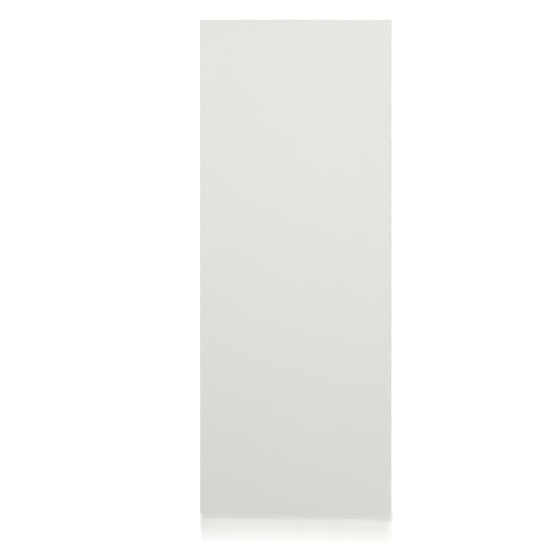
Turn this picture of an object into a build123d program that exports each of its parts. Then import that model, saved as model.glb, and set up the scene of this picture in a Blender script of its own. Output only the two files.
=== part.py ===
from build123d import *
import os

# A flat wall panel: one board in one piece, painted on its face and its edges.
# It lies on its back with the show face up. Lengths are in millimetres.
# X runs across the panel, Y along it, and Z out of the show face.
# The origin is the middle of the back face.

# The board
panel_length = 900.0
panel_width = 350.0
board_thickness = 22.0

# The edges, as they are eased before the paint goes on
corner_radius = 1.5          # the four upright corners
face_arris_radius = 1.0      # the round-over all round the show face
back_arris_chamfer = 0.5     # the eased edge all round the back


def make_board_blank():
    """The board cut to size, with its four upright corners rounded."""
    outline = RectangleRounded(panel_width, panel_length, corner_radius)
    return extrude(outline, amount=board_thickness)


def ease_arrises(board):
    """Round the arris round the show face and take the sharp edge off the back."""
    show_face = board.faces().sort_by(Axis.Z)[-1]
    board = fillet(show_face.edges(), radius=face_arris_radius)
    back_face = board.faces().sort_by(Axis.Z)[0]
    return chamfer(back_face.edges(), length=back_arris_chamfer)


def make_wall_panel():
    """The finished panel, one solid."""
    return ease_arrises(make_board_blank())


os.makedirs("parts", exist_ok=True)
wall_panel = make_wall_panel()
wall_panel.label = "wall_panel"
export_step(wall_panel, "parts/wall_panel.step")
print("wall_panel", wall_panel.bounding_box().size, "volume", wall_panel.volume)
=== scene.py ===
import bpy
import math
from mathutils import Matrix, Vector


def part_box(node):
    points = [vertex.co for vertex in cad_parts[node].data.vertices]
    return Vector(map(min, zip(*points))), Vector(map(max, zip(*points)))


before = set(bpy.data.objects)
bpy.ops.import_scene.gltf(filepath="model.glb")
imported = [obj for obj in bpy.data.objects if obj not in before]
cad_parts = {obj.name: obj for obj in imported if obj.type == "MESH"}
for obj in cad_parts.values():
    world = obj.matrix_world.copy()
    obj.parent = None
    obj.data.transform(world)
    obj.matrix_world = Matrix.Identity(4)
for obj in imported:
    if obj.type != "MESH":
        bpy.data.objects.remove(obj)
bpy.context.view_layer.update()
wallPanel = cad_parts["wall_panel"]
panelLow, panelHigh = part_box("wall_panel")
panelSize = panelHigh - panelLow
faceMiddle = Vector(((panelLow.x + panelHigh.x) / 2, (panelLow.y + panelHigh.y) / 2, panelHigh.z))
print("panel loaded, metres:", [round(side, 4) for side in panelSize])


# Helpers for the material trees. Column and row only lay the nodes out on the page.
page = {"columnWidth": 200, "rowHeight": 260}
noiseMiddle = (0.3, 0.7)        # most of a noise lies between these


def startMaterial(name):
    material = bpy.data.materials.new(name)
    material.use_nodes = True
    material.node_tree.nodes.clear()
    return material, material.node_tree


def addNode(tree, kind, column, row, values=None, **options):
    node = tree.nodes.new(kind)
    node.location = (column * page["columnWidth"], -row * page["rowHeight"])
    for option, value in options.items():
        setattr(node, option, value)
    for socket, value in (values or {}).items():
        node.inputs[socket].default_value = value
    return node


def addMath(tree, operation, first, second, column, row, clamp=False):
    node = addNode(tree, "ShaderNodeMath", column, row, operation=operation, use_clamp=clamp)
    for socket, source in zip(node.inputs, (first, second)):
        if isinstance(source, (int, float)):
            socket.default_value = source
        else:
            tree.links.new(source, socket)
    return node.outputs["Value"]


def addPlace(tree, source, column, row):
    # Object gives where a point lies on the piece, and Normal which way it faces
    return addNode(tree, "ShaderNodeTexCoord", column, row).outputs[source]


def addParts(tree, vector, column, row):
    split = addNode(tree, "ShaderNodeSeparateXYZ", column, row)
    tree.links.new(vector, split.inputs["Vector"])
    return split.outputs


def addPast(tree, part, side, column, row):
    # how far a place lies past the sides of the panel on one axis, and less than 0 between them
    fromMiddle = addMath(tree, "ABSOLUTE", part, 0, column, row)
    return addMath(tree, "SUBTRACT", fromMiddle, side / 2, column + 1, row)


def stretchPlace(tree, along, across, length, width, column, row):
    # a place measured in streaks, for a noise whose patches are long and thin
    combine = addNode(tree, "ShaderNodeCombineXYZ", column + 1, row)
    tree.links.new(addMath(tree, "DIVIDE", along, length, column, row), combine.inputs["X"])
    tree.links.new(addMath(tree, "DIVIDE", across, width, column, row + 1), combine.inputs["Y"])
    return combine.outputs["Vector"]


def addNoise(tree, vector, patchSize, column, row, detail):
    noise = addNode(tree, "ShaderNodeTexNoise", column, row, {"Scale": 1 / patchSize, "Detail": detail})
    tree.links.new(vector, noise.inputs["Vector"])
    return noise.outputs["Fac"]


def addSpread(tree, noise, limits, column, row):
    # the middle of the noise, spread from the first limit to the second
    spread = addNode(tree, "ShaderNodeMapRange", column, row,
                     {"From Min": noiseMiddle[0], "From Max": noiseMiddle[1],
                      "To Min": limits[0], "To Max": limits[1]})
    tree.links.new(noise, spread.inputs["Value"])
    return spread.outputs["Result"]


def addDrift(tree, noise, colour, drift, column, row):
    # the colour, a touch darker to a touch lighter as the noise goes
    ramp = addNode(tree, "ShaderNodeValToRGB", column, row)
    for stop, place, side in zip(ramp.color_ramp.elements, noiseMiddle, (-1, 1)):
        stop.position = place
        stop.color = [channel * (1 + side * drift) for channel in colour] + [1]
    tree.links.new(noise, ramp.inputs["Fac"])
    return ramp.outputs["Color"]


def addMix(tree, share, under, colour, column, row):
    # the colour laid by its share over what is under it
    mix = addNode(tree, "ShaderNodeMixRGB", column, row, {"Color2": list(colour) + [1]})
    tree.links.new(share, mix.inputs["Fac"])
    tree.links.new(under, mix.inputs["Color1"])
    return mix.outputs["Color"]


def addBump(tree, height, depth, column, row, under=None):
    bump = addNode(tree, "ShaderNodeBump", column, row, {"Strength": 1, "Distance": depth})
    tree.links.new(height, bump.inputs["Height"])
    if under:
        tree.links.new(under, bump.inputs["Normal"])
    return bump.outputs["Normal"]


def finishMaterial(tree, colour, roughness, normal):
    skin = addNode(tree, "ShaderNodeBsdfPrincipled", 7, 0)
    out = addNode(tree, "ShaderNodeOutputMaterial", 8, 0)
    tree.links.new(colour, skin.inputs["Base Color"])
    tree.links.new(roughness, skin.inputs["Roughness"])
    tree.links.new(normal, skin.inputs["Normal"])
    tree.links.new(skin.outputs["BSDF"], out.inputs["Surface"])


# The show face: sprayed matt lacquer, with the faint orange peel of a gun and a fine dry grain.
# Sizes are in metres, and colours are linear.
faceLacquer = {
    "colour": (0.786, 0.791, 0.761),
    "drift": 0.004,
    "driftPatch": 0.16,
    "roughness": (0.50, 0.58),
    "sheenPatch": 0.035,
    "orangePeelPatch": 0.0032,
    "orangePeelDepth": 0.000035,
    "grainPatch": 0.0009,
    "grainDepth": 0.000010,
    "arrisPaleAndHighlight": 0.005,         # the round of the arris is painted a touch paler, partly for a thinner film and partly as a painted highlight
    "arrisGain": 4,             # brings the measure of the round, a quarter at most, up to 1
}


def makeFaceLacquer(look):
    material, tree = startMaterial("faceLacquer")
    place = addPlace(tree, "Object", 0, 0)
    clouds = addNoise(tree, place, look["driftPatch"], 2, 0, detail=3)
    drift = addDrift(tree, clouds, look["colour"], look["drift"], 3, 0)
    # nothing on the flat of the face, most on the round of the arris and nothing where the side starts
    level = addParts(tree, addPlace(tree, "Normal", 0, 1), 1, 1)["Z"]
    tilt = addMath(tree, "SUBTRACT", 1, level, 2, 1, clamp=True)
    rounded = addMath(tree, "MULTIPLY", tilt, level, 3, 1)
    onArris = addMath(tree, "MULTIPLY", rounded, look["arrisGain"], 4, 1)
    # painted highlight: the arris round takes a paler colour, which also stands for the thinner film there
    arrisPalerAndLit = [channel * (1 + look["arrisPaleAndHighlight"]) for channel in look["colour"]]
    colour = addMix(tree, onArris, drift, arrisPalerAndLit, 5, 0)
    sheen = addNoise(tree, place, look["sheenPatch"], 2, 2, detail=4)
    roughness = addSpread(tree, sheen, look["roughness"], 3, 2)
    orangePeel = addNoise(tree, place, look["orangePeelPatch"], 2, 3, detail=1)
    peel = addBump(tree, orangePeel, look["orangePeelDepth"], 4, 3)
    dryGrain = addNoise(tree, place, look["grainPatch"], 2, 4, detail=2)
    grain = addBump(tree, dryGrain, look["grainDepth"], 5, 3, under=peel)
    finishMaterial(tree, colour, roughness, grain)
    return material


# The four sides: the same lacquer on cut fibreboard, which drinks more of it in the middle of the board.
edgeLacquer = {
    "colour": (0.781, 0.785, 0.762),
    "drift": 0.010,
    "driftPatch": 0.045,
    "roughness": (0.54, 0.64),
    "dryCore": 0.08,            # how much rougher the middle of the thickness is
    "fibreLength": 0.011,
    "fibreThickness": 0.0008,
    "fibreDepth": 0.000110,
    "orangePeelPatch": 0.0032,
    "orangePeelDepth": 0.000035,
}


def makeEdgeLacquer(look):
    material, tree = startMaterial("edgeLacquer")
    place = addPlace(tree, "Object", 0, 0)
    parts = addParts(tree, place, 1, 0)
    clouds = addNoise(tree, place, look["driftPatch"], 2, 0, detail=4)
    colour = addDrift(tree, clouds, look["colour"], look["drift"], 3, 0)
    # X and Y together run along every side, because one of the two stands still there
    along = addMath(tree, "ADD", parts["X"], parts["Y"], 2, 1)
    streaks = stretchPlace(tree, along, parts["Z"], look["fibreLength"], look["fibreThickness"], 3, 1)
    fibres = addNoise(tree, streaks, 1, 5, 1, detail=3)
    halfThick = panelSize.z / 2
    aboveCore = addMath(tree, "SUBTRACT", parts["Z"], halfThick, 2, 3)
    offCore = addMath(tree, "ABSOLUTE", aboveCore, 0, 3, 3)
    towardsFace = addMath(tree, "DIVIDE", offCore, halfThick, 4, 3)
    core = addMath(tree, "SUBTRACT", 1, towardsFace, 5, 3, clamp=True)
    dry = addMath(tree, "MULTIPLY", core, look["dryCore"], 6, 3)
    sheen = addSpread(tree, fibres, look["roughness"], 6, 2)
    roughness = addMath(tree, "ADD", sheen, dry, 6, 4)
    orangePeel = addNoise(tree, place, look["orangePeelPatch"], 2, 5, detail=1)
    peel = addBump(tree, orangePeel, look["orangePeelDepth"], 4, 5)
    normal = addBump(tree, fibres, look["fibreDepth"], 6, 5, under=peel)
    finishMaterial(tree, colour, roughness, normal)
    return material


# The back: one thin sealing coat over the sanded board, with the mist of the edge paint round its rim.
backSealer = {
    "colour": (0.700, 0.692, 0.655),
    "drift": 0.025,
    "driftPatch": 0.03,
    "roughness": (0.66, 0.76),
    "sandingLength": 0.22,
    "sandingWidth": 0.0016,
    "sandingDepth": 0.000060,
    "mistReach": 0.014,
    "mistPatch": 0.004,
    "mistAtRim": 0.5,           # on top of its own specks, it covers nearly all of the rim
}


def makeBackSealer(look):
    material, tree = startMaterial("backSealer")
    place = addPlace(tree, "Object", 0, 0)
    parts = addParts(tree, place, 1, 0)
    blotches = addNoise(tree, place, look["driftPatch"], 2, 0, detail=5)
    sealer = addDrift(tree, blotches, look["colour"], look["drift"], 3, 0)
    pastSides = addPast(tree, parts["X"], panelSize.x, 2, 1)
    pastEnds = addPast(tree, parts["Y"], panelSize.y, 2, 2)
    pastRim = addMath(tree, "MAXIMUM", pastSides, pastEnds, 4, 1)
    thinning = addMath(tree, "DIVIDE", pastRim, look["mistReach"], 5, 1)
    specks = addNoise(tree, place, look["mistPatch"], 4, 2, detail=4)
    mist = addMath(tree, "ADD", specks, thinning, 6, 1)
    reached = addMath(tree, "ADD", mist, look["mistAtRim"], 6, 2, clamp=True)
    colour = addMix(tree, reached, sealer, edgeLacquer["colour"], 6, 0)
    sheen = addNoise(tree, place, look["driftPatch"], 2, 3, detail=4)
    roughness = addSpread(tree, sheen, look["roughness"], 3, 3)
    streaks = stretchPlace(tree, parts["Y"], parts["X"], look["sandingLength"], look["sandingWidth"], 2, 4)
    scratches = addNoise(tree, streaks, 1, 4, 4, detail=2)
    normal = addBump(tree, scratches, look["sandingDepth"], 5, 4)
    finishMaterial(tree, colour, roughness, normal)
    return material


# Each facet of the mesh takes its finish by how far its normal points up, from -1 to 1.
dressing = {
    "backBelow": -0.99,
    "edgeBelow": 0.03,          # the four sides, and the chamfer round the back
    "weldWithin": 0.00001,      # metres
    "flatLead": 90,             # how far large facets lead small ones in the shading, where 50 is even
}


def dressPanel(panel, look):
    slots = panel.data.materials
    slots.clear()
    slots.append(makeFaceLacquer(faceLacquer))
    slots.append(makeEdgeLacquer(edgeLacquer))
    slots.append(makeBackSealer(backSealer))
    onFace, onEdge, onBack = range(len(slots))
    for facet in panel.data.polygons:
        facet.use_smooth = True
        if facet.normal.z < look["backBelow"]:
            facet.material_index = onBack
        elif facet.normal.z < look["edgeBelow"]:
            facet.material_index = onEdge
        else:
            facet.material_index = onFace
    # one even shading across the flat faces and the rounds between them
    weld = panel.modifiers.new("weldSeams", "WELD")
    weld.merge_threshold = look["weldWithin"]
    shading = panel.modifiers.new("evenShading", "WEIGHTED_NORMAL")
    shading.mode = "FACE_AREA"
    shading.weight = look["flatLead"]


dressPanel(wallPanel, dressing)
print("panel dressed: face, edges and back")


# A white floor that keeps the panel's shadow. What the camera and reflections see of it is lifted to
# white, by little beside the panel, where the shadow falls, and by more further out. Sizes are in metres.
studio = {
    "floorSide": 90,
    "floorDrop": 0.0002,        # keeps the floor clear of the panel's back
    "floorColour": (0.92, 0.92, 0.895),     # the warmth shows only where the shadow falls
    "liftNear": 0.210,
    "liftFar": 0.68,
    "liftStarts": 0.042,        # from the panel's ends
    "liftEnds": 0.095,
    "sideShare": 11,            # how many times sooner it comes beside the long edges
    "worldColour": (1, 1, 1),
    "worldLight": 0.10,         # how strongly it lights the panel
    "worldWhite": 1.0,          # how strongly the camera and reflections see it
}


def whereSeen(tree, column, row):
    # 1 for the camera and for what shows in a gloss or through glass, and 0 for the light on things
    path = addNode(tree, "ShaderNodeLightPath", column, row)
    glossy = addMath(tree, "MAXIMUM", path.outputs["Is Glossy Ray"],
                     path.outputs["Is Transmission Ray"], column + 1, row)
    return addMath(tree, "MAXIMUM", path.outputs["Is Camera Ray"], glossy, column + 2, row)


def addFloorLift(tree, look, column, row):
    # how far a point of the floor lies outside the panel's outline, and the lift that it gets for that
    parts = addParts(tree, addPlace(tree, "Object", column, row), column + 1, row)
    outside = addNode(tree, "ShaderNodeCombineXYZ", column + 6, row)
    for axis, side, share, step in (("X", panelSize.x, look["sideShare"], 0), ("Y", panelSize.y, 1, 1)):
        past = addPast(tree, parts[axis], side, column + 2, row + step)
        counted = addMath(tree, "MULTIPLY", past, share, column + 4, row + step)
        tree.links.new(addMath(tree, "MAXIMUM", counted, 0, column + 5, row + step), outside.inputs[axis])
    away = addNode(tree, "ShaderNodeVectorMath", column + 7, row, operation="LENGTH")
    tree.links.new(outside.outputs["Vector"], away.inputs["Vector"])
    lift = addNode(tree, "ShaderNodeMapRange", column + 8, row,
                   {"From Min": look["liftStarts"], "From Max": look["liftEnds"],
                    "To Min": look["liftNear"], "To Max": look["liftFar"]},
                   interpolation_type="SMOOTHSTEP")
    tree.links.new(away.outputs["Value"], lift.inputs["Value"])
    return lift.outputs["Result"]


def makeFloor(look):
    half = look["floorSide"] / 2
    mesh = bpy.data.meshes.new("studioFloor")
    corners = [(-half, -half, 0), (half, -half, 0), (half, half, 0), (-half, half, 0)]
    mesh.from_pydata(corners, [], [(0, 1, 2, 3)])
    floor = bpy.data.objects.new("studioFloor", mesh)
    floor.location = (faceMiddle.x, faceMiddle.y, panelLow.z - look["floorDrop"])
    bpy.context.collection.objects.link(floor)
    material, tree = startMaterial("studioFloor")
    matt = addNode(tree, "ShaderNodeBsdfDiffuse", 10, 0, {"Color": list(look["floorColour"]) + [1]})
    glow = addNode(tree, "ShaderNodeEmission", 10, 1)
    lift = addMath(tree, "MULTIPLY", whereSeen(tree, 6, 3), addFloorLift(tree, look, 0, 1), 9, 1)
    tree.links.new(lift, glow.inputs["Strength"])
    both = addNode(tree, "ShaderNodeAddShader", 11, 0)
    tree.links.new(matt.outputs["BSDF"], both.inputs[0])
    tree.links.new(glow.outputs["Emission"], both.inputs[1])
    out = addNode(tree, "ShaderNodeOutputMaterial", 12, 0)
    tree.links.new(both.outputs["Shader"], out.inputs["Surface"])
    mesh.materials.append(material)


def makeWorld(look):
    world = bpy.data.worlds.new("studioWorld")
    bpy.context.scene.world = world
    world.use_nodes = True
    tree = world.node_tree
    tree.nodes.clear()
    mix = addNode(tree, "ShaderNodeMixShader", 4, 0)
    tree.links.new(whereSeen(tree, 0, 2), mix.inputs["Fac"])
    for step, strength in enumerate((look["worldLight"], look["worldWhite"])):
        sky = addNode(tree, "ShaderNodeBackground", 3, step,
                      {"Color": list(look["worldColour"]) + [1], "Strength": strength})
        tree.links.new(sky.outputs["Background"], mix.inputs[1 + step])
    out = addNode(tree, "ShaderNodeOutputWorld", 5, 0)
    tree.links.new(mix.outputs["Shader"], out.inputs["Surface"])


# Level is how much of full white the lamp alone gives a white surface: one that lies flat for a sun, and
# one that faces the lamp where it aims for a softbox, which aims straight down unless it says where.
# Bearing is measured from the panel's top end towards its right side. Angles are in degrees.
suns = {
    "endSun": {"bearing": 10, "height": 32, "spread": 26, "level": 0.220},
    "rightSun": {"bearing": 90, "height": 10, "spread": 20, "level": 0.028},
    "footSun": {"bearing": 180, "height": 10, "spread": 20, "level": 0.072},
    "leftSun": {"bearing": -95, "height": 14, "spread": 24, "level": 0.040},
}
softboxes = {
    "topSoftbox": {"place": (-0.12, 0.45, 1.70), "across": 0.9, "level": 0.442},
    "footSoftbox": {"place": (0.90, -0.64, 1.60), "across": 0.9, "level": 0.158},
    "sideSoftbox": {"place": (1.05, 0.62, 0.20), "aim": (0.175, 0.40, 0.01), "across": 0.36, "level": 0.17},
}
sunStandOff = 5     # metres from the face to where a sun is drawn, which doesn't change its light


def placeLamp(name, light, place, back):
    lamp = bpy.data.objects.new(name, light)
    lamp.location = place
    lamp.rotation_euler = back.to_track_quat("Z", "Y").to_euler()
    bpy.context.collection.objects.link(lamp)
    return lamp


def makeSun(name, look):
    bearing = math.radians(look["bearing"])
    height = math.radians(look["height"])
    onLevel = math.cos(height)
    towards = Vector((math.sin(bearing) * onLevel, math.cos(bearing) * onLevel, math.sin(height)))
    sun = bpy.data.lights.new(name, "SUN")
    sun.angle = math.radians(look["spread"])
    sun.energy = look["level"] * math.pi / math.sin(height)
    placeLamp(name, sun, faceMiddle + towards * sunStandOff, towards)


def makeSoftbox(name, look):
    place = Vector(look["place"])
    aim = Vector(look.get("aim", (place.x, place.y, faceMiddle.z)))
    back = place - aim
    box = bpy.data.lights.new(name, "AREA")
    box.shape = "DISK"
    box.size = look["across"]
    box.energy = look["level"] * math.pi ** 2 * back.length_squared
    placeLamp(name, box, place, back).visible_camera = False


makeFloor(studio)
makeWorld(studio)
for name, look in suns.items():
    makeSun(name, look)
for name, look in softboxes.items():
    makeSoftbox(name, look)
print("studio lit")


# Where the show face lies in the square photo, in its pixels. The camera stands off square to the face
# by its turn, towards the right side, and its lean, towards the top end, in degrees.
photo = {"side": 550, "left": 199.8, "right": 388.6, "top": 20.2, "bottom": 514.85}
camera = {
    "lens": 400,
    "turn": 11.3,
    "lean": 2.2,
    "seesTo": 10,               # times its distance
}


def makeCamera(look):
    turn = math.radians(look["turn"])
    lean = math.radians(look["lean"])
    back = Vector((math.sin(turn) * math.cos(lean), math.sin(lean), math.cos(turn) * math.cos(lean)))
    right = Vector((0, 1, 0)).cross(back).normalized()
    up = back.cross(right)
    perMetre = (photo["bottom"] - photo["top"]) / (panelSize.y * math.cos(lean))
    middleX = (photo["left"] + photo["right"]) / 2 - photo["side"] / 2
    middleY = photo["side"] / 2 - (photo["top"] + photo["bottom"]) / 2
    aim = faceMiddle - right * middleX / perMetre - up * middleY / perMetre
    lens = bpy.data.cameras.new("longLens")
    lens.lens = look["lens"]
    distance = lens.lens / lens.sensor_width * photo["side"] / perMetre
    lens.clip_end = distance * look["seesTo"]
    eye = bpy.data.objects.new("longLens", lens)
    turned = Matrix((right, up, back)).transposed().to_4x4()
    eye.matrix_world = Matrix.Translation(aim + back * distance) @ turned
    bpy.context.collection.objects.link(eye)
    bpy.context.scene.camera = eye
    print("camera set, metres off:", round(distance, 2))


makeCamera(camera)
bpy.context.scene.view_settings.view_transform = "Standard"
